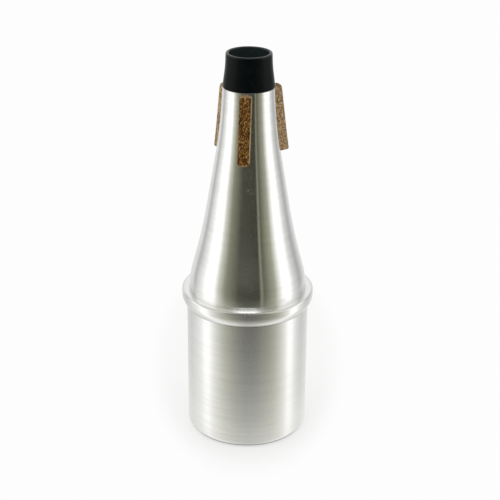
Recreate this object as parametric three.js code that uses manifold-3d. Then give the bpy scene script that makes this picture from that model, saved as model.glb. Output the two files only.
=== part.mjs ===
// A straight mute for a tenor trombone, in millimetres, with +Z up.
// The origin is the centre of the flat underside of the can, and the front of the mute faces -Y.
// Two spun aluminium shells hold an empty chamber: a flared cone, and the can that it is pushed into.
// A rubber collar closes the cone's small end, and three glued cork strips seat the mute in a bell.

import * as THREE from 'three';
import { mergeVertices } from 'three/addons/utils/BufferGeometryUtils.js';
import Module from 'manifold-3d';

const wasm = await Module();
wasm.setup();

// Fits: the gap of a pushed or rolled fit, and the glue line under a cork.
const fitGap = 0.3;
const glueGap = 0.3;

// Can: a drawn cup whose mouth swells into a bead and rolls inward to a narrow shelf.
const canRadius = 51.2;
const canHeight = 129.4;
const canWall = 1.2;
const canBottomThickness = 1.5;
const canCornerRadius = 6;
const beadProud = 4.1;
const beadSwellHeight = 8.7;
const beadSideHeight = 4;
const beadEdgeRadius = 1;

// Cone: the foot stands a little inside the can's radius, and a skirt reaches down into the can.
const coneHeight = 175;
const coneWall = 1.2;
const footInset = 2.4;
const skirtOverlap = 12;
const noseBoreRadius = 16.1;
const neckHeight = 18;
const shoulderWidth = 3.7;

// Collar: a rubber sleeve over the neck, with a lip that covers the neck's end.
const collarHeight = 27.3;
const collarWall = 1;
const rimRadius = 1;
const collarFootRadius = 0.4;

// Corks: strips of pressed cork with rounded corners and a bevel round the outer face.
const corkLength = 56;
const corkWidth = 9.5;
const corkThickness = 6.3;
const corkTopClearance = 1.4;
const corkCornerRadius = 2;
const corkBevel = 1.2;
const corkTurnDegrees = -6.5;
const corkNames = ['cork_front', 'cork_right', 'cork_left'];

// Shares: outlines as [share of the height, share of the radius difference], from the wide end up.
const flareShares = [
  [0, 1], [0.06, 0.977], [0.146, 0.854], [0.26, 0.672], [0.403, 0.492], [0.575, 0.309], [0.775, 0.114], [1, 0],
];
const collarShares = [[0, 1], [0.3, 0.57], [0.6, 0.19], [1, 0]];
const skirtTaperShare = 0.4;
const innerCornerShare = 0.5;
const innerEdgeShare = 0.25;

// Counts: facets round a turned piece, and steps along a flare, an arc and a rounded corner.
const facets = 64;
const flareSteps = 14;
const swellSteps = 6;
const edgeSteps = 3;

// Sizes that follow from the ones above.
const overrun = corkLength;
const beadRadius = canRadius + beadProud;
const swellTopHeight = canHeight - beadEdgeRadius - beadSideHeight;
const swellBottomHeight = swellTopHeight - beadSwellHeight;
const footRadius = canRadius - footInset;
const skirtRadius = canRadius - canWall - fitGap;
const neckRadius = noseBoreRadius + coneWall;
const coneTopRadius = neckRadius + shoulderWidth;
const shoulderHeight = canHeight + coneHeight;
const collarBottomHeight = shoulderHeight + fitGap;
const collarTopHeight = collarBottomHeight + collarHeight;
const collarTopRadius = neckRadius + fitGap + collarWall;

const aluminium = { color: 0xc8c8c2, metalness: 1 };
const finishes = {
  collar: { color: 0x101214, roughness: 0.55, metalness: 0 },
  cone: { ...aluminium, roughness: 0.25 },
  can: { ...aluminium, roughness: 0.35 },
  cork: { color: 0x8a5c36, roughness: 0.9, metalness: 0 },
};

const point = (radius, height) => new THREE.Vector2(radius, height);

// Points of an arc in the (radius, height) plane, from one angle to another in degrees.
function arc(centreRadius, centreHeight, radius, fromDegrees, toDegrees, steps) {
  const points = [];
  for (let i = 0; i <= steps; i += 1) {
    const angle = THREE.MathUtils.degToRad(THREE.MathUtils.lerp(fromDegrees, toDegrees, i / steps));
    points.push(point(centreRadius + radius * Math.cos(angle), centreHeight + radius * Math.sin(angle)));
  }
  return points;
}

// A turned solid: the outline runs counterclockwise in the (radius, height) plane.
function turned(outline) {
  return new THREE.LatheGeometry(outline, facets).rotateX(Math.PI / 2);
}

// Points of the cone's flare, from its wide foot up to its narrow top.
function flare(bottomRadius, topRadius, bottomHeight, topHeight) {
  const guides = flareShares.map(([heightShare, radiusShare]) => new THREE.Vector3(
    THREE.MathUtils.lerp(topRadius, bottomRadius, radiusShare),
    THREE.MathUtils.lerp(bottomHeight, topHeight, heightShare),
    0,
  ));
  const curve = new THREE.CatmullRomCurve3(guides, false, 'centripetal');
  return curve.getPoints(flareSteps).map((place) => point(place.x, place.y));
}

// Points of the bead's swell, an arc that leaves the can's wall and ends upright at the bead's side.
function swell(wallRadius, proud, steps) {
  const radius = (proud * proud + beadSwellHeight * beadSwellHeight) / (2 * proud);
  const turnDegrees = THREE.MathUtils.radToDeg(Math.asin(beadSwellHeight / radius));
  return arc(wallRadius + proud - radius, swellTopHeight, radius, -turnDegrees, 0, steps);
}

function canGeometry() {
  const innerWallRadius = canRadius - canWall;
  const innerBeadRadius = beadRadius - canWall;
  const innerCornerRadius = canCornerRadius * innerCornerShare;
  const lipRadius = footRadius + fitGap;
  const edgeRadius = Math.max(beadEdgeRadius - canWall, beadEdgeRadius * innerEdgeShare);
  const shelfHeight = canHeight - beadEdgeRadius;
  return turned([
    point(0, 0),
    ...arc(canRadius - canCornerRadius, canCornerRadius, canCornerRadius, -90, 0, edgeSteps),
    ...swell(canRadius, beadProud, swellSteps),
    ...arc(beadRadius - beadEdgeRadius, shelfHeight, beadEdgeRadius, 0, 90, edgeSteps),
    point(lipRadius, canHeight),
    point(lipRadius, canHeight - canWall),
    ...arc(innerBeadRadius - edgeRadius, canHeight - canWall - edgeRadius, edgeRadius, 90, 0, 1),
    ...swell(innerWallRadius, innerBeadRadius - innerWallRadius, swellSteps).reverse(),
    ...arc(
      innerWallRadius - innerCornerRadius,
      canBottomThickness + innerCornerRadius,
      innerCornerRadius,
      0,
      -90,
      edgeSteps,
    ),
    point(0, canBottomThickness),
  ]);
}

function coneGeometry() {
  const skirtBottomHeight = swellBottomHeight - skirtOverlap;
  const skirtTopHeight = THREE.MathUtils.lerp(swellBottomHeight, canHeight, skirtTaperShare);
  const tuckHeight = canHeight - canWall - fitGap;
  const neckTopHeight = shoulderHeight + neckHeight;
  const outerFlare = flare(footRadius, coneTopRadius, canHeight, shoulderHeight);
  const innerFlare = flare(footRadius - coneWall, coneTopRadius - coneWall, canHeight, shoulderHeight - coneWall);
  const start = point(skirtRadius - coneWall, skirtBottomHeight);
  return turned([
    start,
    point(skirtRadius, skirtBottomHeight),
    point(skirtRadius, skirtTopHeight),
    point(footRadius, tuckHeight),
    ...outerFlare,
    point(neckRadius, shoulderHeight),
    point(neckRadius, neckTopHeight),
    point(noseBoreRadius, neckTopHeight),
    point(noseBoreRadius, shoulderHeight - coneWall),
    ...innerFlare.reverse(),
    point(footRadius - coneWall, tuckHeight),
    point(skirtRadius - coneWall, skirtTopHeight),
    start,
  ]);
}

function collarGeometry() {
  const socketRadius = neckRadius + fitGap;
  const lipHeight = shoulderHeight + neckHeight + fitGap;
  const rimHeight = collarTopHeight - rimRadius;
  const side = collarShares.map(([heightShare, radiusShare]) => point(
    THREE.MathUtils.lerp(collarTopRadius, coneTopRadius, radiusShare),
    THREE.MathUtils.lerp(collarBottomHeight + collarFootRadius, rimHeight, heightShare),
  ));
  const start = point(socketRadius, collarBottomHeight);
  return turned([
    start,
    point(coneTopRadius - collarFootRadius, collarBottomHeight),
    ...side,
    ...arc(collarTopRadius - rimRadius, rimHeight, rimRadius, 0, 90, edgeSteps).slice(1),
    ...arc(noseBoreRadius + rimRadius, rimHeight, rimRadius, 90, 180, edgeSteps),
    point(noseBoreRadius, lipHeight),
    point(socketRadius, lipHeight),
    start,
  ]);
}

// A closed geometry as a solid that can be cut, and the solid back as a geometry.
function toSolid(geometry) {
  const bare = geometry.clone();
  bare.deleteAttribute('normal');
  bare.deleteAttribute('uv');
  const merged = mergeVertices(bare);
  return new wasm.Manifold(new wasm.Mesh({
    numProp: 3,
    vertProperties: new Float32Array(merged.attributes.position.array),
    triVerts: new Uint32Array(merged.index.array),
  }));
}

function toGeometry(solid) {
  const mesh = solid.getMesh();
  const geometry = new THREE.BufferGeometry();
  geometry.setAttribute('position', new THREE.BufferAttribute(mesh.vertProperties, 3));
  geometry.setIndex(new THREE.BufferAttribute(mesh.triVerts, 1));
  geometry.computeVertexNormals();
  return geometry;
}

// Everything inside the cone's outer face once that face is moved out by an allowance.
function coneEnvelope(allowance) {
  const face = flare(footRadius + allowance, coneTopRadius + allowance, canHeight, shoulderHeight);
  const endHeight = shoulderHeight + overrun;
  return toSolid(turned([
    point(0, canHeight),
    ...face,
    point(coneTopRadius + allowance, endHeight),
    point(0, endHeight),
  ]));
}

// The radius of the cone's outer face at a height, by straight lines between the flare's points.
function coneRadiusAt(height) {
  const face = flare(footRadius, coneTopRadius, canHeight, shoulderHeight);
  const next = Math.max(1, face.findIndex((place) => place.y >= height));
  const low = face[next - 1];
  const high = face[next];
  return THREE.MathUtils.mapLinear(height, low.y, high.y, low.x, high.x);
}

// The outline of a cork strip, centred, with rounded corners.
function stripShape() {
  const x = corkWidth / 2;
  const y = corkLength / 2;
  const r = corkCornerRadius;
  const shape = new THREE.Shape();
  shape.moveTo(r - x, -y);
  shape.lineTo(x - r, -y);
  shape.absarc(x - r, r - y, r, -Math.PI / 2, 0);
  shape.lineTo(x, y - r);
  shape.absarc(x - r, y - r, r, 0, Math.PI / 2);
  shape.lineTo(r - x, y);
  shape.absarc(r - x, y - r, r, Math.PI / 2, Math.PI);
  shape.lineTo(-x, r - y);
  shape.absarc(r - x, r - y, r, Math.PI, Math.PI * 1.5);
  return shape;
}

// One cork strip at the front of the cone, bent over the cone's face and standing off by the glue line.
function corkGeometry() {
  const topHeight = shoulderHeight - corkTopClearance;
  const topRadius = coneRadiusAt(topHeight);
  const bottomRadius = coneRadiusAt(topHeight - corkLength);
  const lean = Math.atan2(bottomRadius - topRadius, corkLength);
  const midHeight = topHeight - (corkLength / 2) * Math.cos(lean);
  const across = new THREE.Vector3(1, 0, 0);
  const along = new THREE.Vector3(0, Math.sin(lean), Math.cos(lean));
  const outward = new THREE.Vector3().crossVectors(across, along);
  const depth = corkThickness + glueGap;
  const strip = new THREE.ExtrudeGeometry(stripShape(), {
    depth: depth + corkThickness - corkBevel,
    curveSegments: edgeSteps,
    bevelThickness: corkBevel,
    bevelSize: corkBevel,
    bevelOffset: -corkBevel,
    bevelSegments: 1,
  });
  strip.translate(0, 0, -corkThickness);
  strip.applyMatrix4(new THREE.Matrix4().makeBasis(across, along, outward));
  strip.translate(0, -coneRadiusAt(midHeight), midHeight);
  const shaped = toSolid(strip)
    .intersect(coneEnvelope(depth))
    .subtract(coneEnvelope(glueGap));
  return toGeometry(shaped);
}

function piece(name, geometry, finish) {
  const mesh = new THREE.Mesh(geometry, new THREE.MeshStandardMaterial(finish));
  mesh.name = name;
  return mesh;
}

const mute = new THREE.Group();
mute.add(piece('can_shell', canGeometry(), finishes.can));
mute.add(piece('cone_shell', coneGeometry(), finishes.cone));
mute.add(piece('nose_collar', collarGeometry(), finishes.collar));

const corks = new THREE.Group();
corks.rotation.z = THREE.MathUtils.degToRad(corkTurnDegrees);
corkNames.forEach((name, index) => {
  const cork = piece(name, corkGeometry(), finishes.cork);
  cork.rotation.z = (index * 2 * Math.PI) / corkNames.length;
  corks.add(cork);
});
mute.add(corks);

export default mute;
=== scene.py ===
"""A straight mute for a tenor trombone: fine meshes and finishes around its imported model.

Lengths are in metres, in the model's own frame: +Z up along the axis, with the origin at the centre of
the can's underside and the front of the mute towards -Y.
"""

import logging
import math
from dataclasses import dataclass, replace
from enum import Enum
from typing import Optional, Union

import bmesh
import bpy
import numpy as np
from bmesh.types import BMesh
from bpy.types import Material, Mesh, Node, NodeOutputs, NodeTree, Object
from mathutils import Matrix, Vector, noise


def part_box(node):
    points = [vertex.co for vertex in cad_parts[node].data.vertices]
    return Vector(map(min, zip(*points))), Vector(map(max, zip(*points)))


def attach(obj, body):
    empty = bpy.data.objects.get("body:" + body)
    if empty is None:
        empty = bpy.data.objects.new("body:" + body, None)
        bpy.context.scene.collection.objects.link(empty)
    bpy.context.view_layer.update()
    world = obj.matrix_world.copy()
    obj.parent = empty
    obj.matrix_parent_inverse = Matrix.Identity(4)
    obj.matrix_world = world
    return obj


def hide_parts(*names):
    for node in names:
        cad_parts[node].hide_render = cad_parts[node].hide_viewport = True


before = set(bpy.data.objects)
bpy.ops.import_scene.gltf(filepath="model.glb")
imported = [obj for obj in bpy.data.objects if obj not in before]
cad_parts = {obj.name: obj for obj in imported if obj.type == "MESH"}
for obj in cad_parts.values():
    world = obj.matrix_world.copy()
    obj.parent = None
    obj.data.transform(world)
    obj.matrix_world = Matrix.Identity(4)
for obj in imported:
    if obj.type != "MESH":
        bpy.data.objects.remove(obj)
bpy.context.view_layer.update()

log = logging.getLogger("mute")

MM = 0.001
QUARTER = 90.0
HALF = 180.0
BODY = "root"
TURN_STEPS = 256
WELD = 1e-6
SHARP_EDGE = 32.0
SHARP_CORK_EDGE = 60.0

Output = bpy.types.NodeSocket
Socket = Union[Output, float, tuple]
Inputs = dict[Union[str, int], Socket]
Pair = tuple[float, float]
Triple = tuple[float, float, float]
Colour = Triple
Shares = tuple[float, ...]
Stops = tuple[tuple[float, Colour], ...]
Ring = tuple[Pair, ...]


@dataclass(frozen=True)
class Grain:
    """A noise pattern: its grains per metre, its octaves of finer noise and how strong each of these is."""

    scale: float
    detail: float
    roughness: float


class Graph:
    """A node tree that is wired up one node at a time."""

    def __init__(self, tree: NodeTree) -> None:
        """Starts on an empty tree.

        Args:
            tree: The tree of a material or a world.
        """
        self.tree = tree
        tree.nodes.clear()

    def add(self, kind: str, inputs: Optional[Inputs] = None, **settings: object) -> Node:
        """Adds a node, sets its options and fills its sockets.

        Args:
            kind: The node's type name.
            inputs: Values or sockets for the node's inputs, by name or number.
            **settings: Options of the node itself.

        Returns:
            The new node.
        """
        node = self.tree.nodes.new(kind)
        for name, value in settings.items():
            setattr(node, name, value)
        for key, value in (inputs or {}).items():
            self.put(node.inputs[key], value)
        return node

    def put(self, socket: Output, value: Socket) -> None:
        """Links a socket to an input, or sets the input's own value.

        Args:
            socket: The input to fill.
            value: A socket, a number, a vector or a colour.
        """
        if isinstance(value, Output):
            self.tree.links.new(value, socket)
        elif socket.type == "RGBA" and len(value) == 3:
            socket.default_value = (*value, 1.0)
        else:
            socket.default_value = value

    def math(self, operation: str, first: Socket, second: Socket = 0.0, third: Socket = 0.0) -> Output:
        """Returns the result of a Math node on up to three numbers."""
        return self.add("ShaderNodeMath", {0: first, 1: second, 2: third}, operation=operation).outputs[0]

    def vector(self, operation: str, first: Socket, second: Socket = (0.0, 0.0, 0.0)) -> Output:
        """Returns the vector that a Vector Math node makes of one or two vectors."""
        node = self.add("ShaderNodeVectorMath", {0: first, 1: second}, operation=operation)
        return node.outputs["Vector"]

    def length(self, vector: Socket) -> Output:
        """Returns the length of a vector."""
        return self.add("ShaderNodeVectorMath", {0: vector}, operation="LENGTH").outputs["Value"]

    def parts(self, vector: Socket) -> NodeOutputs:
        """Returns the X, Y and Z of a vector."""
        return self.add("ShaderNodeSeparateXYZ", {0: vector}).outputs

    def joined(self, *parts: Socket) -> Output:
        """Returns the vector that has these three parts."""
        return self.add("ShaderNodeCombineXYZ", dict(enumerate(parts))).outputs[0]

    def place(self) -> Output:
        """Returns the shaded point in the object's own frame."""
        return self.add("ShaderNodeTexCoord").outputs["Object"]

    def flat(self, place: Socket) -> Output:
        """Returns a place at no height, so that its length is how far it is from the axis."""
        return self.vector("MULTIPLY", place, (1, 1, 0))

    def between(self, value: Socket, span: Pair, result: Pair = (0.0, 1.0)) -> Output:
        """Carries a value smoothly from one range to another, and holds it at the ends.

        Args:
            value: The number to carry over.
            span: Where the first range starts and ends.
            result: What comes out at its start and at its end.

        Returns:
            The number carried over.
        """
        ends = {"From Min": span[0], "From Max": span[1], "To Min": result[0], "To Max": result[1]}
        node = self.add("ShaderNodeMapRange", {"Value": value, **ends}, interpolation_type="SMOOTHSTEP")
        return node.outputs["Result"]

    def mix(self, factor: Socket, first: Socket, second: Socket) -> Output:
        """Mixes two colours.

        Args:
            factor: The share of the second colour.
            first: The colour at a share of 0.
            second: The colour at a share of 1.

        Returns:
            The mixed colour.
        """
        node = self.add("ShaderNodeMix", {"Factor": factor}, data_type="RGBA")
        colours = (socket for socket in node.inputs if socket.type == "RGBA")
        for socket, colour in zip(colours, (first, second)):
            self.put(socket, colour)
        return next(socket for socket in node.outputs if socket.type == "RGBA")

    def ramp(self, factor: Socket, stops: Stops) -> Output:
        """Reads a colour from a ramp.

        Args:
            factor: Where on the ramp to read, from 0 to 1.
            stops: The ramp's places and colours, in order.

        Returns:
            The colour there.
        """
        node = self.add("ShaderNodeValToRGB", {"Fac": factor})
        elements = node.color_ramp.elements
        elements.remove(elements[-1])
        elements[0].position = stops[0][0]
        elements[0].color = (*stops[0][1], 1.0)
        for place, colour in stops[1:]:
            elements.new(place).color = (*colour, 1.0)
        return node.outputs["Color"]

    def noise(self, vector: Socket, grain: Grain, extra: Optional[Socket] = None) -> NodeOutputs:
        """Reads a noise pattern.

        Args:
            vector: The place to read the pattern at.
            grain: The pattern.
            extra: A fourth coordinate, if there is one.

        Returns:
            The noise as the number "Fac" and as "Color", each about 0.5.
        """
        inputs = {
            "Vector": vector,
            "Scale": grain.scale,
            "Detail": grain.detail,
            "Roughness": grain.roughness,
        }
        if extra is None:
            return self.add("ShaderNodeTexNoise", inputs).outputs
        inputs["W"] = extra
        return self.add("ShaderNodeTexNoise", inputs, noise_dimensions="4D").outputs

    def bump(self, height: Socket, strength: float, depth: float) -> Output:
        """Returns the surface's direction with a relief of a given strength and depth."""
        node = self.add("ShaderNodeBump", {"Strength": strength, "Distance": depth, "Height": height})
        return node.outputs["Normal"]

    def coat(self, inputs: Inputs) -> None:
        """Gives the material a Principled surface with these inputs."""
        self.surface(self.add("ShaderNodeBsdfPrincipled", inputs).outputs[0])

    def surface(self, shader: Output) -> None:
        """Makes a shader the material's surface."""
        self.add("ShaderNodeOutputMaterial", {"Surface": shader})

    def glow(self, colour: Colour, strength: float = 1.0) -> Output:
        """Returns a shader that shines in a colour."""
        return self.add("ShaderNodeEmission", {"Color": colour, "Strength": strength}).outputs[0]

    def choose(self, share: Socket, first: Output, second: Output) -> Output:
        """Returns a shader that turns from the first into the second as the share goes from 0 to 1."""
        return self.add("ShaderNodeMixShader", {0: share, 1: first, 2: second}).outputs[0]


def new_material(name: str) -> tuple[Material, Graph]:
    """Makes a material and the graph of its nodes.

    Args:
        name: The material's name.

    Returns:
        The material, and a graph on its empty tree.
    """
    material = bpy.data.materials.new(name)
    material.use_nodes = True
    return material, Graph(material.node_tree)


@dataclass(frozen=True)
class ShadedCrease:
    """A line round the metal with painted shade along it: its height, how far the shade reaches and how dark
    it is.
    """

    height: float
    reach: float
    crease_shade: float


@dataclass(frozen=True)
class SpunAluminium:
    """Bare aluminium worked on a lathe: fine rings round the axis that draw reflections out along it, and
    painted shade along its creases.
    """

    name: str
    colour: Colour
    shade: Colour
    roughness: float
    anisotropy: float
    rings: Grain
    ring_depth: float
    bands: Grain
    marks: Grain
    mark_strength: float
    creases: tuple[ShadedCrease, ...]
    clouds: Grain = Grain(28.0, 3.0, 0.55)
    wear_shares: Triple = (0.45, 0.35, 0.2)
    # The colour of the painted shade along the creases.
    crease_shade: Colour = (0.05, 0.047, 0.04)

    # How far a pattern slides across the metal on its way round, so that no ring closes quite evenly.
    drift: float = 2.2 * MM
    mark_drift: float = 19.8 * MM
    tint_range: Pair = (0.35, 0.65)
    wear_range: Pair = (0.3, 0.7)
    mark_range: Pair = (0.6, 0.72)
    rough_spread: float = 0.12
    grain_turn: float = 0.25

    def material(self) -> Material:
        """Makes the metal's nodes.

        Returns:
            The metal as a material.
        """
        material, graph = new_material(self.name)
        place = graph.place()
        flat = graph.flat(place)
        radius = graph.length(flat)
        height = graph.parts(place)["Z"]
        around = graph.parts(graph.vector("NORMALIZE", flat))
        rings = graph.joined(radius, height, graph.math("MULTIPLY", around["X"], self.drift))
        turned = graph.math("MULTIPLY", around["Y"], self.drift * self.rings.scale)
        fine = graph.noise(rings, self.rings, turned)["Fac"]
        patterns = (fine, graph.noise(rings, self.bands)["Fac"], graph.noise(place, self.clouds)["Fac"])
        ring_wear, band_wear, cloud_wear = (
            graph.math("MULTIPLY", pattern, share) for pattern, share in zip(patterns, self.wear_shares)
        )
        worn = graph.math("ADD", graph.math("ADD", ring_wear, band_wear), cloud_wear)
        tint = graph.mix(graph.between(worn, self.tint_range), self.shade, self.colour)
        # Painted shade: near each crease the metal darkens towards the shade's colour.
        for crease in self.creases:
            away = graph.math("ABSOLUTE", graph.math("SUBTRACT", height, crease.height))
            tint = graph.mix(graph.between(away, (0.0, crease.reach), (crease.crease_shade, 0.0)), tint, self.crease_shade)
        wide = graph.joined(radius, height, graph.math("MULTIPLY", around["X"], self.mark_drift))
        across = graph.math("MULTIPLY", around["Y"], self.mark_drift * self.marks.scale)
        marked = graph.between(graph.noise(wide, self.marks, across)["Fac"], self.mark_range)
        ends = (self.roughness * (1 + self.rough_spread), self.roughness * (1 - self.rough_spread))
        even = graph.between(worn, self.wear_range, ends)
        graph.coat({
            "Base Color": tint,
            "Metallic": 1.0,
            "Roughness": graph.math("MULTIPLY_ADD", marked, self.roughness * self.mark_strength, even),
            "Anisotropic": self.anisotropy,
            "Anisotropic Rotation": self.grain_turn,
            "Normal": graph.bump(fine, 1.0, self.ring_depth),
        })
        return material


@dataclass(frozen=True)
class BlackRubber:
    """Moulded black rubber, matte on its side and shinier round the rim, with painted light that makes its
    bore paler.
    """

    name: str = "black_rubber"
    colour: Colour = (0.0026, 0.004, 0.0045)
    scuff: Colour = (0.0048, 0.0064, 0.007)
    # Painted light: inside this radius, fading over this width, the bore is a paler grey, as though lit from
    # above.
    bore_painted_light: Colour = (0.021, 0.031, 0.031)
    bore_radius: float = 16.4 * MM
    bore_fade: float = 0.5 * MM
    roughness: float = 0.3
    gloss: float = 0.07
    bloom: Grain = Grain(160.0, 4.0, 0.6)
    scuff_range: Pair = (0.45, 0.75)
    bloom_range: Pair = (0.3, 0.7)
    bloom_rough: Pair = (-0.04, 0.06)
    skin: Grain = Grain(1900.0, 2.0, 0.5)
    skin_strength: float = 0.35
    skin_depth: float = 0.03 * MM

    def material(self) -> Material:
        """Makes the rubber's nodes.

        Returns:
            The rubber as a material.
        """
        material, graph = new_material(self.name)
        place = graph.place()
        bloom = graph.noise(place, self.bloom)["Fac"]
        outside = graph.mix(graph.between(bloom, self.scuff_range), self.colour, self.scuff)
        # Painted light: the bore's paler colour stands in for the light that falls into it.
        wall = (self.bore_radius, self.bore_radius + self.bore_fade)
        bore = graph.between(graph.length(graph.flat(place)), wall, (1.0, 0.0))
        duller = graph.between(bloom, self.bloom_range, self.bloom_rough)
        skin = graph.noise(place, self.skin)["Fac"]
        graph.coat({
            "Base Color": graph.mix(bore, outside, self.bore_painted_light),
            "Roughness": graph.math("ADD", duller, self.roughness),
            "Specular IOR Level": self.gloss,
            "Normal": graph.bump(skin, self.skin_strength, self.skin_depth),
        })
        return material


@dataclass(frozen=True)
class CorkSurface:
    """The colours of one surface of the cork: its granules, the pores in them and the bark between them."""

    granules: Stops
    pore: Colour
    pore_share: float
    bark: Colour
    bark_share: float
    pore_range: Pair = (0.35, 0.62)

    def tint(self, graph: Graph, pick: Output, pores: Output, seam: Output) -> Output:
        """Mixes the surface's colour.

        Args:
            graph: The graph of the cork's nodes.
            pick: A number that is the same all over one granule.
            pores: The noise of the pores.
            seam: How much bark there is, from 0 to 1.

        Returns:
            The colour.
        """
        pitted = graph.between(pores, self.pore_range, (self.pore_share, 0.0))
        fine = graph.mix(pitted, graph.ramp(pick, self.granules), self.pore)
        return graph.mix(graph.math("MULTIPLY", seam, self.bark_share), fine, self.bark)


@dataclass(frozen=True)
class PressedCork:
    """Pressed cork: granules of several browns with dark bark between them, and paler cut edges, partly fresh
    cork and partly painted light.
    """

    name: str = "pressed_cork"
    cut_and_lit_attribute: str = "cut_and_lit_edge"
    granule: float = 0.78 * MM
    lie: Triple = (0.3, 0.6, 0.2)
    squeeze: Triple = (1.35, 1.35, 0.8)
    warp: Grain = Grain(420.0, 2.0, 0.5)
    warp_reach: float = 0.9 * MM
    pores: Grain = Grain(2600.0, 3.0, 0.6)
    bark_width: float = 0.12
    bark_most: float = 0.85
    relief_width: float = 0.18
    relief_strength: float = 0.8
    relief_depth: float = 0.12 * MM
    pore_relief: float = 0.6
    pore_range: Pair = (0.3, 0.7)
    roughness: Pair = (0.92, 0.72)
    gloss: float = 0.12
    face: CorkSurface = CorkSurface(
        granules=(
            (0.0, (0.02, 0.006, 0.001)),
            (0.25, (0.07, 0.025, 0.003)),
            (0.5, (0.19, 0.079, 0.011)),
            (0.75, (0.38, 0.182, 0.036)),
            (1.0, (0.74, 0.44, 0.145)),
        ),
        pore=(0.03, 0.01, 0.002),
        pore_share=0.5,
        bark=(0.018, 0.006, 0.001),
        bark_share=1.0,
    )
    # The paler colour of the cut edges: partly fresh cork, partly painted light where the edges catch the
    # lamps.
    cut_and_lit: CorkSurface = CorkSurface(
        granules=(
            (0.0, (0.16, 0.08, 0.03)),
            (0.3, (0.42, 0.26, 0.12)),
            (0.65, (0.7, 0.5, 0.29)),
            (1.0, (0.95, 0.78, 0.54)),
        ),
        pore=(0.16, 0.09, 0.04),
        pore_share=0.35,
        bark=(0.09, 0.05, 0.02),
        bark_share=0.7,
    )

    def material(self) -> Material:
        """Makes the cork's nodes.

        Returns:
            The cork as a material.
        """
        material, graph = new_material(self.name)
        place = graph.place()
        sway = graph.vector("SUBTRACT", graph.noise(place, self.warp)["Color"], (0.5, 0.5, 0.5))
        moved = graph.vector("ADD", place, graph.vector("MULTIPLY", sway, (self.warp_reach,) * 3))
        lie = graph.add("ShaderNodeMapping", {"Vector": moved, "Rotation": self.lie, "Scale": self.squeeze})
        packing = {"Vector": lie.outputs[0], "Scale": 1 / self.granule, "Randomness": 1.0}
        cells = graph.add("ShaderNodeTexVoronoi", packing).outputs["Color"]
        seams = graph.add("ShaderNodeTexVoronoi", packing, feature="DISTANCE_TO_EDGE").outputs["Distance"]
        pick = graph.add("ShaderNodeSeparateColor", {0: cells}).outputs[0]
        pores = graph.noise(moved, self.pores)["Fac"]
        bark = graph.between(seams, (0.0, self.bark_width), (self.bark_most, 0.0))
        face, pale = (surface.tint(graph, pick, pores, bark) for surface in (self.face, self.cut_and_lit))
        # How much of the paler edge colour, partly painted light, each point takes.
        cut_and_lit = graph.add("ShaderNodeAttribute", attribute_name=self.cut_and_lit_attribute).outputs["Fac"]
        pitted = graph.math("MULTIPLY", pores, self.pore_relief)
        relief = graph.math("ADD", graph.between(seams, (0.0, self.relief_width)), pitted)
        graph.coat({
            "Base Color": graph.mix(cut_and_lit, face, pale),
            "Roughness": graph.between(pores, self.pore_range, self.roughness),
            "Specular IOR Level": self.gloss,
            "Normal": graph.bump(relief, self.relief_strength, self.relief_depth),
        })
        return material


SATIN_CAN = SpunAluminium(
    name="satin_can",
    colour=(0.88, 0.88, 0.87),
    shade=(0.8, 0.8, 0.79),
    roughness=0.25,
    anisotropy=0.6,
    rings=Grain(2600.0, 3.0, 0.65),
    ring_depth=0.0012 * MM,
    bands=Grain(420.0, 2.0, 0.5),
    marks=Grain(520.0, 2.0, 0.6),
    mark_strength=0.3,
    # Painted shade in the crease under the swell.
    creases=(ShadedCrease(115.5 * MM, 0.5 * MM, 0.45),),
)
BRIGHT_LEDGE = replace(SATIN_CAN, name="bright_ledge", roughness=0.2, anisotropy=0.3, creases=())
BRIGHT_CONE = SpunAluminium(
    name="bright_cone",
    colour=(0.9, 0.9, 0.88),
    shade=(0.8, 0.8, 0.78),
    roughness=0.165,
    anisotropy=0.85,
    rings=Grain(2200.0, 3.0, 0.65),
    ring_depth=0.003 * MM,
    bands=Grain(240.0, 2.0, 0.5),
    marks=Grain(620.0, 2.0, 0.6),
    mark_strength=0.9,
    # Painted shade on the cone just below the collar's foot.
    creases=(ShadedCrease(304.6 * MM, 0.9 * MM, 0.5),),
)
MATTE_RUBBER = BlackRubber()
SHINY_RIM = BlackRubber(name="shiny_rubber_rim", roughness=0.12, gloss=0.35)


def arc(centre: Pair, radius: float, start: float, end: float, steps: int) -> list[Vector]:
    """Points of an arc in the plane of radius and height.

    Args:
        centre: The arc's centre as radius and height.
        radius: The arc's own radius.
        start: The first point's direction in degrees, from 0 away from the axis.
        end: The last point's direction in degrees.
        steps: How many straight steps the arc has.

    Returns:
        The arc's points, both ends included.
    """
    turns = (math.radians(start + (end - start) * i / steps) for i in range(steps + 1))
    return [Vector((centre[0] + radius * math.cos(a), centre[1] + radius * math.sin(a))) for a in turns]


class SmoothCurve:
    """A curve through a few points, with a slope and a bend that never jump."""

    def __init__(self, places: Shares, values: Shares) -> None:
        """Solves the curve's bend at each point.

        Args:
            places: Where the points are, in rising order.
            values: The curve's value at each point.
        """
        self.places = np.array(places)
        self.values = np.array(values)
        gaps = np.diff(self.places)
        slopes = np.diff(self.values) / gaps
        count = len(places)
        system = np.eye(count)
        right = np.zeros(count)
        for i in range(1, count - 1):
            system[i, i - 1 : i + 2] = gaps[i - 1], 2 * (gaps[i - 1] + gaps[i]), gaps[i]
            right[i] = 6 * (slopes[i] - slopes[i - 1])
        self.bends = np.linalg.solve(system, right)

    def at(self, place: float) -> float:
        """Reads the curve.

        Args:
            place: Where to read it.

        Returns:
            The curve's value there.
        """
        i = int(np.clip(np.searchsorted(self.places, place) - 1, 0, len(self.places) - 2))
        gap = self.places[i + 1] - self.places[i]
        past = (place - self.places[i]) / gap
        left = 1 - past
        bend = (left**3 - left) * self.bends[i] + (past**3 - past) * self.bends[i + 1]
        return float(left * self.values[i] + past * self.values[i + 1] + bend * gap * gap / 6)


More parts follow.
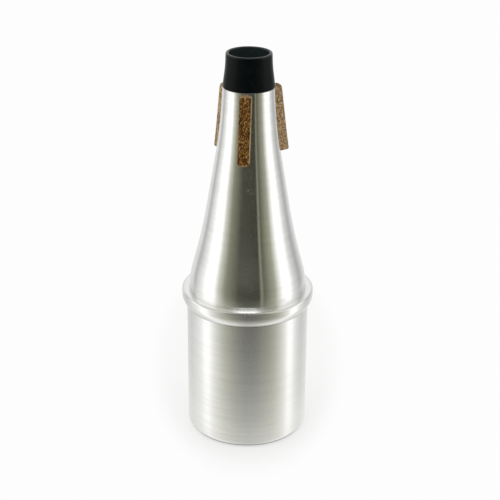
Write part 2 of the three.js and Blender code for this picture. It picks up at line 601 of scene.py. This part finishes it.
@dataclass
class Flare:
    """The cone's curved side, from its foot up to its shoulder."""

    foot_radius: float = 48.8 * MM
    top_radius: float = 21.0 * MM
    foot_height: float = 129.4 * MM
    top_height: float = 304.4 * MM
    height_shares: Shares = (0, 0.06, 0.146, 0.26, 0.403, 0.575, 0.775, 1)
    radius_shares: Shares = (1, 0.977, 0.854, 0.672, 0.492, 0.309, 0.114, 0)
    steps: int = 56

    def __post_init__(self) -> None:
        """Fits the smooth curve through the shares."""
        self.curve = SmoothCurve(self.height_shares, self.radius_shares)

    def radius_at(self, height: float) -> float:
        """Measures the side.

        Args:
            height: How high above the can's underside to measure it.

        Returns:
            The side's radius there.
        """
        share = (height - self.foot_height) / (self.top_height - self.foot_height)
        share = min(max(share, 0.0), 1.0)
        return self.top_radius + (self.foot_radius - self.top_radius) * self.curve.at(share)

    def outline(self, inset: float = 0.0) -> list[Vector]:
        """Draws the side from above its foot to below its shoulder.

        Args:
            inset: How far the points are moved towards the axis.

        Returns:
            The points as radius and height.
        """
        rise = self.top_height - self.foot_height
        heights = (self.foot_height + rise * i / self.steps for i in range(1, self.steps))
        return [Vector((self.radius_at(height) - inset, height)) for height in heights]


def turned_mesh(name: str, outline: list[Vector]) -> Mesh:
    """Turns a closed outline about the Z axis into a solid mesh.

    Args:
        name: The mesh's name.
        outline: Points as radius and height, in order round the solid's half section.

    Returns:
        A closed mesh with its faces outwards and its shallow edges smooth.
    """
    work = bmesh.new()
    rim = [work.verts.new((0.0, -p.x, p.y)) for p in outline]
    edges = [work.edges.new((a, b)) for a, b in zip(rim, rim[1:] + rim[:1])]
    bmesh.ops.spin(work, geom=rim + edges, axis=(0, 0, 1), angle=math.tau, steps=TURN_STEPS, use_merge=True)
    return finished_mesh(work, name)


def finished_mesh(work: BMesh, name: str, sharp: float = SHARP_EDGE) -> Mesh:
    """Welds a bmesh, turns its faces outwards and makes a mesh of it.

    Args:
        work: The bmesh, which is freed.
        name: The mesh's name.
        sharp: Edges that turn by more than this many degrees stay sharp.

    Returns:
        The new mesh.
    """
    bmesh.ops.remove_doubles(work, verts=work.verts, dist=WELD)
    bmesh.ops.dissolve_degenerate(work, dist=WELD, edges=work.edges)
    bmesh.ops.recalc_face_normals(work, faces=work.faces)
    mesh = bpy.data.meshes.new(name)
    work.to_mesh(mesh)
    work.free()
    mesh.shade_smooth()
    mesh.set_sharp_from_angle(angle=math.radians(sharp))
    return mesh


def add_piece(mesh: Mesh, material: Material, node: str) -> Object:
    """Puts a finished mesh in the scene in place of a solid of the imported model.

    Args:
        mesh: The piece's mesh, in the model's frame.
        material: The piece's finish.
        node: The solid that it stands for.

    Returns:
        The new object.
    """
    piece = bpy.data.objects.new(mesh.name, mesh)
    bpy.context.scene.collection.objects.link(piece)
    mesh.materials.append(material)
    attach(piece, BODY)
    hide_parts(node)
    low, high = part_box(node)
    spans = " x ".join(f"{(b - a) / MM:.1f}" for a, b in zip(low, high))
    log.info("%s: %d faces for %s, %s mm", piece.name, len(mesh.polygons), node, spans)
    return piece


def dress_above(mesh: Mesh, height: float, material: Material) -> None:
    """Gives a mesh a second material above a height.

    Args:
        mesh: The mesh, which has its first material already.
        height: Faces with their centre above this get the second one.
        material: The second material.
    """
    mesh.materials.append(material)
    for face in mesh.polygons:
        face.material_index = int(face.center.z > height)


@dataclass
class Can:
    """The drawn cup: a flat closed base, a straight side, and a mouth that swells and rolls in."""

    radius: float = 51.2 * MM
    height: float = 129.4 * MM
    wall: float = 1.2 * MM
    base_thickness: float = 1.5 * MM
    base_shares: Shares = (0.2, 0.5, 0.8)
    side_shares: Shares = (0.15, 0.4, 0.65)
    corner_radius: float = 6.0 * MM
    corner_steps: int = 10
    inner_corner_radius: float = 4.8 * MM
    inner_corner_steps: int = 6
    bead_proud: float = 4.1 * MM
    swell_height: float = 8.7 * MM
    swell_steps: int = 20
    side_height: float = 3.2 * MM
    edge_radius: float = 1.8 * MM
    edge_start: float = 40.0
    edge_steps: int = 8
    inner_edge_radius: float = 0.2 * MM
    inner_edge_steps: int = 4
    lip_radius: float = 48.98 * MM
    lip_rounding: float = 0.12 * MM
    lip_steps: int = 5

    def swell(self, wall_radius: float) -> list[Vector]:
        """Draws the swell from the wall up to the bead's upright side.

        Args:
            wall_radius: The wall's radius below the swell.

        Returns:
            The swell's points, from the wall up.
        """
        top = self.height - self.edge_radius - self.side_height
        radius = (self.bead_proud**2 + self.swell_height**2) / (2 * self.bead_proud)
        turn = math.degrees(math.asin(self.swell_height / radius))
        return arc((wall_radius + self.bead_proud - radius, top), radius, -turn, 0, self.swell_steps)

    def outside(self) -> list[Vector]:
        """Draws the outside of the half section.

        Returns:
            The points from the centre of the base up to the lip's upper rounding.
        """
        bead = self.radius + self.bead_proud
        shelf = self.height - self.edge_radius
        corner = self.radius - self.corner_radius
        edge_rise = self.edge_radius * math.tan(math.radians(self.edge_start / 2))
        edge = (bead - self.edge_radius, shelf)
        lip = (self.lip_radius + self.lip_rounding, self.height - self.lip_rounding)
        return [
            Vector((0, 0)),
            *(Vector((corner * share, 0)) for share in self.base_shares),
            *arc((corner, self.corner_radius), self.corner_radius, -QUARTER, 0, self.corner_steps),
            *(Vector((self.radius, self.height * share)) for share in self.side_shares),
            *self.swell(self.radius),
            Vector((bead, shelf + edge_rise)),
            *arc(edge, self.edge_radius, self.edge_start, QUARTER, self.edge_steps),
            *arc(lip, self.lip_rounding, QUARTER, HALF, self.lip_steps),
        ]

    def inside(self) -> list[Vector]:
        """Draws the inside of the half section.

        Returns:
            The points from the lip's lower rounding down to the centre of the floor.
        """
        wall = self.radius - self.wall
        under = self.height - self.wall
        edge = self.inner_edge_radius
        corner = self.inner_corner_radius
        lip = (self.lip_radius + self.lip_rounding, under + self.lip_rounding)
        bead = (wall + self.bead_proud - edge, under - edge)
        return [
            *arc(lip, self.lip_rounding, HALF, HALF + QUARTER, self.lip_steps),
            *arc(bead, edge, QUARTER, 0, self.inner_edge_steps),
            *reversed(self.swell(wall)),
            *arc((wall - corner, self.base_thickness + corner), corner, 0, -QUARTER, self.inner_corner_steps),
            Vector((0, self.base_thickness)),
        ]

    def build(self, finish: SpunAluminium, ledge_finish: SpunAluminium) -> Object:
        """Makes the can and dresses it.

        Args:
            finish: The finish of its side.
            ledge_finish: The finish of the ledge on top of its bead.

        Returns:
            The can's object.
        """
        mesh = turned_mesh("can", self.outside() + self.inside())
        can = add_piece(mesh, finish.material(), "can_shell")
        dress_above(mesh, self.height - self.lip_rounding, ledge_finish.material())
        return can


@dataclass
class Cone:
    """The spun cone: a skirt inside the can, the flared side, a shoulder and a short neck."""

    flare: Flare
    wall: float = 1.2 * MM
    skirt_radius: float = 49.7 * MM
    skirt_bottom: float = 103.7 * MM
    skirt_top: float = 121.18 * MM
    tuck_height: float = 127.9 * MM
    bore_radius: float = 16.1 * MM
    neck_top: float = 322.4 * MM
    shoulder_rounding: float = 0.25 * MM
    shoulder_start: float = 5.0
    shoulder_steps: int = 5
    foot_spread: float = 0.12 * MM
    foot_rise: float = 2.0 * MM
    foot_steps: int = 6

    def spread_foot(self) -> list[Vector]:
        """Draws the foot of the side, which spreads a little over the can's ledge.

        Returns:
            The points from the foot up.
        """
        points = []
        for i in range(self.foot_steps + 1):
            share = i / self.foot_steps
            height = self.flare.foot_height + self.foot_rise * share
            spread = self.foot_spread * (1 - share) ** 2
            points.append(Vector((self.flare.radius_at(height) + spread, height)))
        return points

    def outline(self) -> list[Vector]:
        """Draws the half section.

        Returns:
            The points from the skirt's foot up the outside and down the inside.
        """
        neck = self.bore_radius + self.wall
        shoulder = self.flare.top_height
        rounding = self.shoulder_rounding
        turn = (self.flare.top_radius - rounding, shoulder - rounding)
        skirt_inner = self.skirt_radius - self.wall
        foot = self.flare.foot_radius
        return [
            Vector((skirt_inner, self.skirt_bottom)),
            Vector((self.skirt_radius, self.skirt_bottom)),
            Vector((self.skirt_radius, self.skirt_top)),
            Vector((foot, self.tuck_height)),
            *self.spread_foot(),
            *self.flare.outline(),
            *arc(turn, rounding, self.shoulder_start, QUARTER, self.shoulder_steps),
            Vector((neck, shoulder)),
            Vector((neck, self.neck_top)),
            Vector((self.bore_radius, self.neck_top)),
            Vector((self.bore_radius, shoulder - self.wall)),
            *reversed(self.flare.outline(self.wall)),
            Vector((foot - self.wall, self.flare.foot_height)),
            Vector((foot - self.wall, self.tuck_height)),
            Vector((skirt_inner, self.skirt_top)),
        ]

    def build(self, finish: SpunAluminium) -> Object:
        """Makes the cone and dresses it."""
        mesh = turned_mesh("cone", self.outline())
        return add_piece(mesh, finish.material(), "cone_shell")


@dataclass
class Collar:
    """The rubber sleeve round the neck, widening to the shoulder, with a lip over the neck's end."""

    bottom: float = 304.7 * MM
    top: float = 332.0 * MM
    foot_radius: float = 21.0 * MM
    top_radius: float = 18.6 * MM
    socket_radius: float = 17.6 * MM
    bore_radius: float = 16.1 * MM
    lip_under: float = 322.7 * MM
    rim_rounding: float = 1.0 * MM
    rim_steps: int = 8
    foot_rounding: float = 0.4 * MM
    foot_steps: int = 5
    height_shares: Shares = (0, 0.3, 0.6, 1)
    radius_shares: Shares = (1, 0.57, 0.19, 0)
    steps: int = 24

    def side(self) -> list[Vector]:
        """Draws the curved side between the two roundings.

        Returns:
            The points from the foot up.
        """
        curve = SmoothCurve(self.height_shares, self.radius_shares)
        foot = self.bottom + self.foot_rounding
        rise = self.top - self.rim_rounding - foot
        spread = self.foot_radius - self.top_radius
        shares = (i / self.steps for i in range(1, self.steps))
        return [Vector((self.top_radius + spread * curve.at(share), foot + rise * share)) for share in shares]

    def outline(self) -> list[Vector]:
        """Draws the half section.

        Returns:
            The points from the socket's foot up the outside and down the bore.
        """
        rim = self.top - self.rim_rounding
        foot = (self.foot_radius - self.foot_rounding, self.bottom + self.foot_rounding)
        outer_rim = (self.top_radius - self.rim_rounding, rim)
        inner_rim = (self.bore_radius + self.rim_rounding, rim)
        return [
            Vector((self.socket_radius, self.bottom)),
            *arc(foot, self.foot_rounding, -QUARTER, 0, self.foot_steps),
            *self.side(),
            *arc(outer_rim, self.rim_rounding, 0, QUARTER, self.rim_steps),
            *arc(inner_rim, self.rim_rounding, QUARTER, HALF, self.rim_steps),
            Vector((self.bore_radius, self.lip_under)),
            Vector((self.socket_radius, self.lip_under)),
        ]

    def build(self, finish: BlackRubber, rim_finish: BlackRubber) -> Object:
        """Makes the collar and dresses it.

        Args:
            finish: The finish of its sides.
            rim_finish: The finish of its rim.

        Returns:
            The collar's object.
        """
        mesh = turned_mesh("collar", self.outline())
        collar = add_piece(mesh, finish.material(), "nose_collar")
        dress_above(mesh, self.top - self.rim_rounding, rim_finish.material())
        return collar


class CorkPlace(Enum):
    """Where a cork strip stands: its node, its turn from the front in degrees, and its share left by wear."""

    FRONT = ("cork_front", 0, 0.95)
    RIGHT = ("cork_right", 120, 1.0)
    LEFT = ("cork_left", 240, 0.78)


@dataclass
class CorkStrip:
    """A glued strip of pressed cork, bent over the cone, with rounded corners and a bevelled outer edge."""

    place: CorkPlace
    flare: Flare
    length: float = 56 * MM
    width: float = 9.5 * MM
    thickness: float = 6.8 * MM
    taper: float = 1.6 * MM
    hollow: float = 0.7 * MM
    glue_gap: float = 0.3 * MM
    top_clearance: float = 1.4 * MM
    corner_radius: float = 2.6 * MM
    corner_segments: int = 5
    bevel: float = 0.6 * MM
    bevel_segments: int = 3
    outer_share: float = 0.9
    end_rounding: float = 1.6 * MM
    # How much of the paler edge colour, partly painted light, the left sides and the rounded ends take.
    left_side_pale: float = 0.84
    end_pale: float = 0.6
    turn_degrees: float = -6.5
    lean_degrees: float = 1.0
    cell: float = 0.5 * MM

    # Where granules have crumbled away: how deep and how wide, how strong and how much finer the small
    # crumbs are, the share of the thickness that stays firm, and how far each axis turns the way in.
    crumble: float = 0.16 * MM
    crumb: float = 1.1 * MM
    fine_share: float = 0.35
    fine_scale: float = 2.7
    firm_share: float = 0.3
    pull: Triple = (0.6, 1.0, 0.1)

    def round_edges(self, work: BMesh, edges: list, offset: float, segments: int) -> None:
        """Rounds some of the flat strip's edges.

        Args:
            work: The flat strip.
            edges: The edges to round.
            offset: How far the rounding reaches from them.
            segments: How many straight steps it has.
        """
        bmesh.ops.bevel(
            work, geom=edges, affect="EDGES", offset=offset, segments=segments,
            profile=0.5, material=-1, clamp_overlap=True,
        )

    def block(self) -> BMesh:
        """Makes the flat strip, with X across it, Z along it and -Y out of its face.

        Returns:
            The strip as a bmesh.
        """
        work = bmesh.new()
        bmesh.ops.create_cube(work, size=1.0)
        bmesh.ops.scale(work, vec=(self.width, self.thickness, self.length), verts=work.verts)
        bmesh.ops.translate(work, vec=(0, -self.thickness / 2, 0), verts=work.verts)
        upright = [e for e in work.edges if abs((e.verts[0].co - e.verts[1].co).y) > self.thickness / 2]
        self.round_edges(work, upright, self.corner_radius, self.corner_segments)
        outer_depth = -self.thickness * self.outer_share
        outer = [e for e in work.edges if all(v.co.y < outer_depth for v in e.verts)]
        self.round_edges(work, outer, self.bevel, self.bevel_segments)
        return work

    def slice(self, work: BMesh) -> None:
        """Cuts the flat strip into small cells by planes along and across it.

        Args:
            work: The flat strip.
        """
        across = (Vector((1, 0, 0)), self.width, -self.width / 2)
        along = (Vector((0, 0, 1)), self.length, -self.length / 2)
        through = (Vector((0, 1, 0)), self.thickness, -self.thickness)
        for axis, span, start in (across, along, through):
            count = round(span / self.cell)
            for i in range(1, count):
                geom = list(work.verts) + list(work.edges) + list(work.faces)
                place = axis * (start + span * i / count)
                bmesh.ops.bisect_plane(work, geom=geom, dist=WELD, plane_co=place, plane_no=axis)
        bmesh.ops.remove_doubles(work, verts=work.verts, dist=WELD)

    def cut_and_lit_share(self, place: Vector) -> float:
        """Says how much of the paler edge colour, partly fresh cut cork and partly painted light, a point
        takes.

        Args:
            place: The point on the flat strip.

        Returns:
            0 on the strip's face, 1 on its right side, and less on its left side and its ends.
        """
        fresh = self.left_side_pale if place.x < self.corner_radius - self.width / 2 else 1.0
        end_share = min(max((abs(place.z) - self.length / 2) / self.end_rounding + 1, 0.0), 1.0)
        fresh *= 1 - (1 - self.end_pale) * end_share
        return fresh * min(max((place.y + self.thickness) / self.bevel, end_share), 1.0)

    def crumbled(self, place: Vector) -> Vector:
        """Moves a point in where granules have crumbled away.

        Args:
            place: The point on the flat strip.

        Returns:
            Where it is moved to.
        """
        seed = place / self.crumb + Vector((self.place.value[1], 0, 0))
        rough = noise.noise(seed) + self.fine_share * noise.noise(seed * self.fine_scale)
        depth = self.crumble * max(rough, 0.0)
        pull_x, pull_y, pull_z = self.pull
        inward = Vector((place.x * pull_x, (place.y + self.thickness / 2) * pull_y, place.z * pull_z))
        loose = min(-place.y / (self.firm_share * self.thickness), 1.0)
        return place - inward.normalized() * depth * loose

    def bent(self, place: Vector) -> Vector:
        """Bends the strip over the cone.

        Args:
            place: A point of the flat strip.

        Returns:
            Where the point lies on the bent one.
        """
        top = self.flare.top_height - self.top_clearance
        lean = math.atan2(self.flare.radius_at(top - self.length) - self.flare.radius_at(top), self.length)
        middle = top - self.length / 2 * math.cos(lean)
        share = 2 * place.z / self.length
        depth = self.thickness - self.taper / 2 * share + self.hollow * (1 - share**2)
        past_end = max(abs(place.z) - self.length / 2 + self.end_rounding, 0.0)
        depth -= self.end_rounding - math.sqrt(max(self.end_rounding**2 - past_end**2, 0.0))
        out = -place.y * depth * self.place.value[2] / self.thickness + self.glue_gap / 2
        height = middle + place.z * math.cos(lean) + out * math.sin(lean)
        radius = self.flare.radius_at(middle + place.z * math.cos(lean)) + out * math.cos(lean)
        turn = place.x / radius
        return Vector((radius * math.sin(turn), -radius * math.cos(turn), height))

    def build(self, finish: PressedCork, material: Material) -> Object:
        """Makes the strip and dresses it.

        Args:
            finish: The cork's finish, which names the attribute for the paler edges, partly fresh cut cork
                and partly painted light.
            material: The material that all the strips share.

        Returns:
            The strip's object.
        """
        node, around, _ = self.place.value
        work = self.block()
        self.slice(work)
        cut_and_lit = work.verts.layers.float.new(finish.cut_and_lit_attribute)
        turn = Matrix.Rotation(math.radians(self.turn_degrees + around), 3, "Z")
        lean = Matrix.Rotation(math.radians(self.lean_degrees), 3, "Y")
        for vert in work.verts:
            vert[cut_and_lit] = self.cut_and_lit_share(vert.co)
            vert.co = turn @ self.bent(lean @ self.crumbled(vert.co))
        mesh = finished_mesh(work, node.replace("cork_", "") + "_cork", SHARP_CORK_EDGE)
        return add_piece(mesh, material, node)


@dataclass
class Studio:
    """The camera, the floor and the light: a soft white room that is dark behind the camera."""

    camera_place: Triple = (1.87 * MM, -996.43 * MM, 603.14 * MM)
    camera_dip: float = 23.8796
    camera_roll: float = 0.4291
    lens: float = 93.6
    sensor: float = 36.0
    floor_size: float = 9.0
    floor_drop: float = 0.2 * MM
    sheet_share: float = 0.66
    sheet_start: float = 50 * MM
    sheet_fade: float = 150 * MM
    # Painted shadow: inside this radius, fading over this width, the sheet is black in the metal's
    # reflections.
    contact_shadow_radius: float = 47.6 * MM
    contact_shadow_fade: float = 4.0 * MM
    shade_centre: float = 130 * MM
    shade_size: Pair = (82 * MM, 200 * MM)
    shade_edge: Pair = (0.9, 1.2)
    shade_glow: float = 0.6

    # How bright the room is level with the mute, by degrees round from the camera, right positive.
    level: Ring = (
        (-180, 0.8), (-140, 0.8), (-127, 0.5), (-100, 1.0), (-92, 1.25), (-68, 1.25), (-60, 0.7),
        (-44, 0.25), (-16, 0.05), (24, 0.04), (28, 0.32), (32, 0.1), (56, 0.4), (73, 1.25),
        (92, 1.25), (103, 0.8), (125, 0.45), (154, 0.8), (180, 0.8),
    )

    # The same, looking down to where the floor ends.
    below: Ring = (
        (-180, 0.8), (-135, 0.6), (-100, 0.9), (-88, 1.4), (-79, 1.4), (-72, 0.95), (-45, 0.45),
        (-24, 0.18), (-4, 0.03), (12, 0.03), (31, 0.12), (50, 0.28), (77, 0.72), (86, 1.4),
        (95, 1.4), (103, 0.9), (123, 0.6), (158, 0.8), (180, 0.8),
    )

    # The same, looking up at the lamps' soft panels.
    above: Ring = (
        (-180, 1.0), (-132, 0.65), (-116, 1.2), (-76, 1.3), (-62, 0.85), (-34, 0.9), (-12, 2.2),
        (14, 2.2), (30, 0.8), (42, 0.6), (58, 0.5), (74, 1.2), (108, 1.2), (130, 0.65), (180, 1.0),
    )

    # The same for the ceiling, as the metal and the rubber see it, and its plain light on the rest.
    overhead_seen: Ring = ((-180, 0.7), (-64, 0.7), (-40, 0.08), (40, 0.08), (64, 0.7), (180, 0.7))
    overhead: Colour = (0.95, 0.95, 0.94)
    olive: float = 0.36
    olive_end: float = 95.0

    # Between which angles of rise, in degrees, one ring fades into the next.
    below_to_level: Pair = (-23.5, -20.0)
    level_to_above: Pair = (20.0, 25.0)
    above_to_overhead: Pair = (32.0, 42.0)
    sheet: Colour = (1.0, 0.995, 0.95)
    page: Colour = (0.985, 0.985, 0.985)
    floor_colour: Colour = (0.97, 0.97, 0.97)
    black: Colour = (0.0, 0.0, 0.0)

    def stops(self, ring: Ring) -> Stops:
        """Lays a ring of the room out on a colour ramp.

        Args:
            ring: How bright the ring is, by degrees round from the camera.

        Returns:
            The ramp's stops, which are olive where the room is dim and near the camera.
        """
        stops = []
        for degrees, light in ring:
            olive = self.olive * max(1 - light, 0.0) if abs(degrees) < self.olive_end else 0.0
            stops.append(((degrees + HALF) / (2 * HALF), (light, light, light * (1 - olive))))
        return tuple(stops)

    def room(self, graph: Graph, glossy: Output) -> Output:
        """Makes the room's light.

        Args:
            graph: The graph of the world's nodes.
            glossy: Whether it is a reflection that sees the room.

        Returns:
            The room's colour in the direction that is looked in.
        """
        direction = graph.add("ShaderNodeTexCoord").outputs["Generated"]
        along = graph.parts(graph.vector("NORMALIZE", direction))
        turn = graph.math("ARCTAN2", along["X"], graph.math("MULTIPLY", along["Y"], -1.0))
        share = graph.math("MULTIPLY_ADD", turn, 1 / math.tau, 0.5)
        rise = graph.math("DEGREES", graph.math("ARCSINE", along["Z"]))
        rings = (self.below, self.level, self.above, self.overhead_seen)
        below, level, above, seen = (graph.ramp(share, self.stops(ring)) for ring in rings)
        light = graph.mix(graph.between(rise, self.below_to_level), below, level)
        light = graph.mix(graph.between(rise, self.level_to_above), light, above)
        ceiling = graph.mix(glossy, self.overhead, seen)
        return graph.mix(graph.between(rise, self.above_to_overhead), light, ceiling)

    def light(self) -> None:
        """Makes the world: the room for the object, and a plain white page for the camera."""
        world = bpy.data.worlds.new("studio")
        bpy.context.scene.world = world
        world.use_nodes = True
        graph = Graph(world.node_tree)
        path = graph.add("ShaderNodeLightPath").outputs
        colour = graph.mix(path["Is Camera Ray"], self.room(graph, path["Is Glossy Ray"]), self.page)
        shader = graph.add("ShaderNodeBackground", {"Color": colour, "Strength": 1.0})
        graph.add("ShaderNodeOutputWorld", {"Surface": shader.outputs[0]})

    def shown_sheet(self, graph: Graph, flat: Output, plain: Output) -> Output:
        """Makes what the camera sees of the floor.

        Args:
            graph: The graph of the floor's nodes.
            flat: The shaded place on the floor.
            plain: The floor's plain diffuse shader.

        Returns:
            A shader that takes the mute's shadow near the mute and is a plain white page round it.
        """
        spot = graph.add("ShaderNodeMapping", {
            "Vector": flat,
            "Location": (0, -self.shade_centre / self.shade_size[1], 0),
            "Scale": (1 / self.shade_size[0], 1 / self.shade_size[1], 0),
        })
        spread = graph.between(graph.length(spot.outputs[0]), self.shade_edge, (self.shade_glow, 1.0))
        return graph.choose(spread, plain, graph.glow(self.page))

    def mirrored_sheet(self, graph: Graph, distance: Output) -> Output:
        """Makes what the metal sees of the floor.

        Args:
            graph: The graph of the floor's nodes.
            distance: How far the shaded place is from the mute's axis.

        Returns:
            A sheet that is black with a painted shadow where the mute stands on it, bright round that, and
            fades into the room.
        """
        past = graph.math("MAXIMUM", graph.math("SUBTRACT", distance, self.sheet_start), 0.0)
        fade = graph.math("EXPONENT", graph.math("DIVIDE", past, -self.sheet_fade))
        through = graph.add("ShaderNodeBsdfTransparent").outputs[0]
        lit = graph.choose(graph.math("MULTIPLY", fade, self.sheet_share), through, graph.glow(self.sheet))
        # Painted shadow: the sheet turns black where the mute stands on it.
        contact_shadow = graph.between(distance, (self.contact_shadow_radius, self.contact_shadow_radius + self.contact_shadow_fade))
        return graph.choose(contact_shadow, graph.glow(self.black, 0.0), lit)

    def floor_material(self) -> Material:
        """Makes the floor's nodes.

        Returns:
            The floor's material.
        """
        material, graph = new_material("floor_sheet")
        flat = graph.flat(graph.place())
        plain = graph.add("ShaderNodeBsdfDiffuse", {"Color": self.floor_colour}).outputs[0]
        path = graph.add("ShaderNodeLightPath").outputs
        seen = graph.choose(path["Is Camera Ray"], plain, self.shown_sheet(graph, flat, plain))
        mirrored = self.mirrored_sheet(graph, graph.length(flat))
        graph.surface(graph.choose(path["Is Glossy Ray"], seen, mirrored))
        return material

    def floor(self) -> None:
        """Makes the floor, a pale sheet that the mute stands on."""
        work = bmesh.new()
        bmesh.ops.create_grid(work, x_segments=1, y_segments=1, size=self.floor_size / 2)
        bmesh.ops.translate(work, vec=(0, 0, -self.floor_drop), verts=work.verts)
        mesh = bpy.data.meshes.new("floor")
        work.to_mesh(mesh)
        work.free()
        floor = bpy.data.objects.new("floor", mesh)
        bpy.context.scene.collection.objects.link(floor)
        mesh.materials.append(self.floor_material())

    def camera(self) -> None:
        """Makes the camera and gives it to the scene."""
        data = bpy.data.cameras.new("camera")
        data.lens = self.lens
        data.sensor_width = self.sensor
        camera = bpy.data.objects.new("camera", data)
        bpy.context.scene.collection.objects.link(camera)
        dip = Matrix.Rotation(math.radians(QUARTER - self.camera_dip), 4, "X")
        roll = Matrix.Rotation(math.radians(self.camera_roll), 4, "Z")
        camera.matrix_world = Matrix.Translation(self.camera_place) @ dip @ roll
        bpy.context.scene.camera = camera

    def build(self) -> None:
        """Makes the camera, the light and the floor."""
        self.camera()
        self.light()
        self.floor()
        bpy.context.scene.view_settings.view_transform = "Standard"
        log.info("studio: camera, floor and light")


def main() -> None:
    """Builds the studio and the mute, piece by piece."""
    logging.basicConfig(level=logging.INFO, format="%(name)s: %(message)s")
    Studio().build()
    flare = Flare()
    Can().build(SATIN_CAN, BRIGHT_LEDGE)
    Cone(flare).build(BRIGHT_CONE)
    Collar().build(MATTE_RUBBER, SHINY_RIM)
    cork = PressedCork()
    cork_material = cork.material()
    for place in CorkPlace:
        CorkStrip(place, flare).build(cork, cork_material)


if __name__ == "__main__":
    main()
